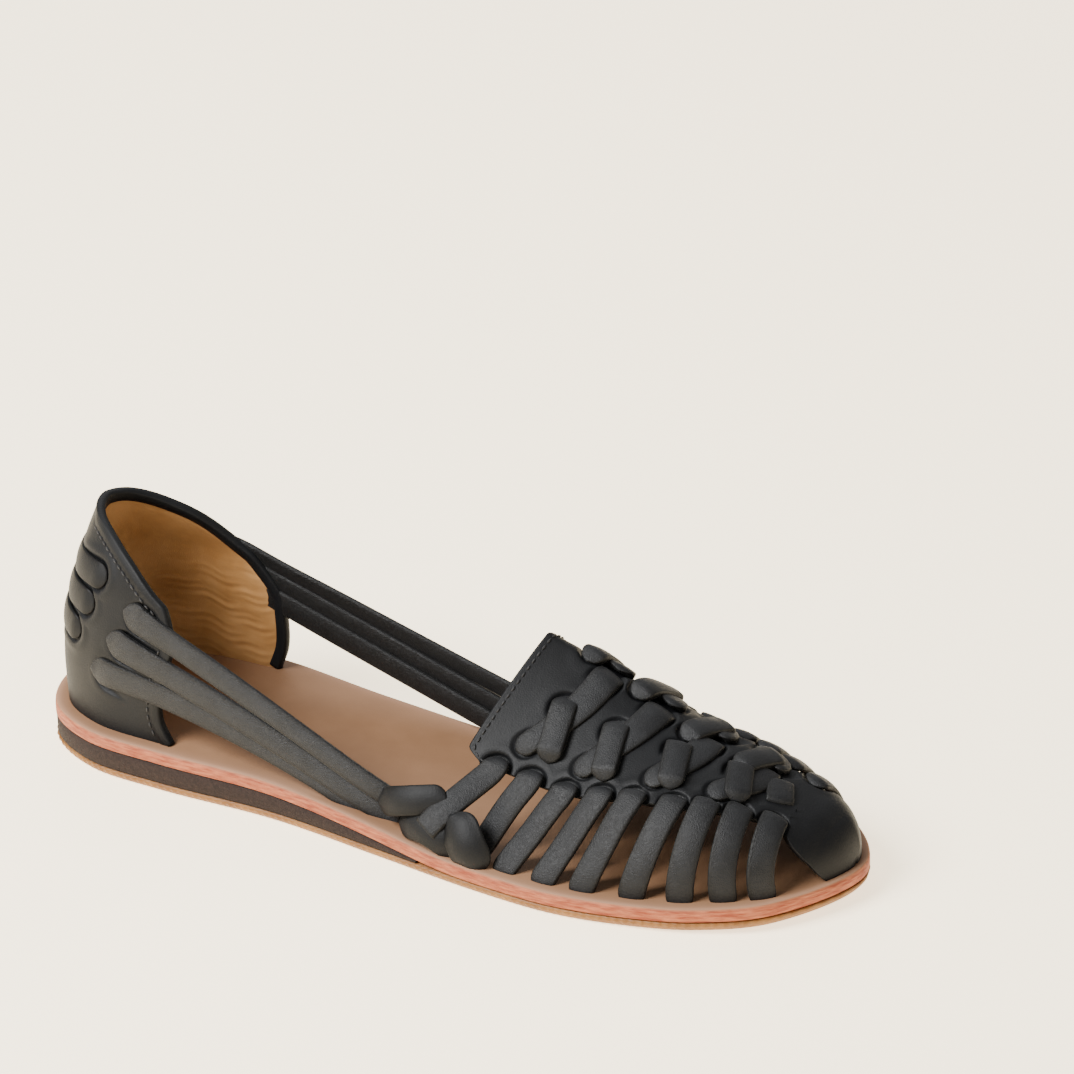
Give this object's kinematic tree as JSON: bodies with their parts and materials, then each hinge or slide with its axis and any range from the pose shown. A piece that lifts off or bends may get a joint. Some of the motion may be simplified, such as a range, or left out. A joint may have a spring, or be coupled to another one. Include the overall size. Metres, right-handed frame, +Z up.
{
  "type": "sandal",
  "caption": "Flat woven leather slip-on sandal with open sides: heel counter, long side straps, braided vamp with side strips and toe cap on a layered leather and rubber sole.",
  "frame": {"origin": "middle of the shoe's footprint box, on the floor that the outsole stands on", "axes": "+X towards the toe, +Y towards the medial (inner) side, +Z up"},
  "size_m": [0.254, 0.0829, 0.072],
  "materials": {
    "outsole_rubber": "satin honey rubber",
    "wedge_rubber": "matte dark brown cellular rubber",
    "sole_leather": "matte tan leather with a pinkish cut edge",
    "upper_leather": "black full-grain leather, soft satin"
  },
  "bodies": {
    "root": {"outsole": "outsole_rubber", "heel_wedge": "wedge_rubber", "leather_midsole": "sole_leather", "upper": "upper_leather"}
  },
  "joints": []
}
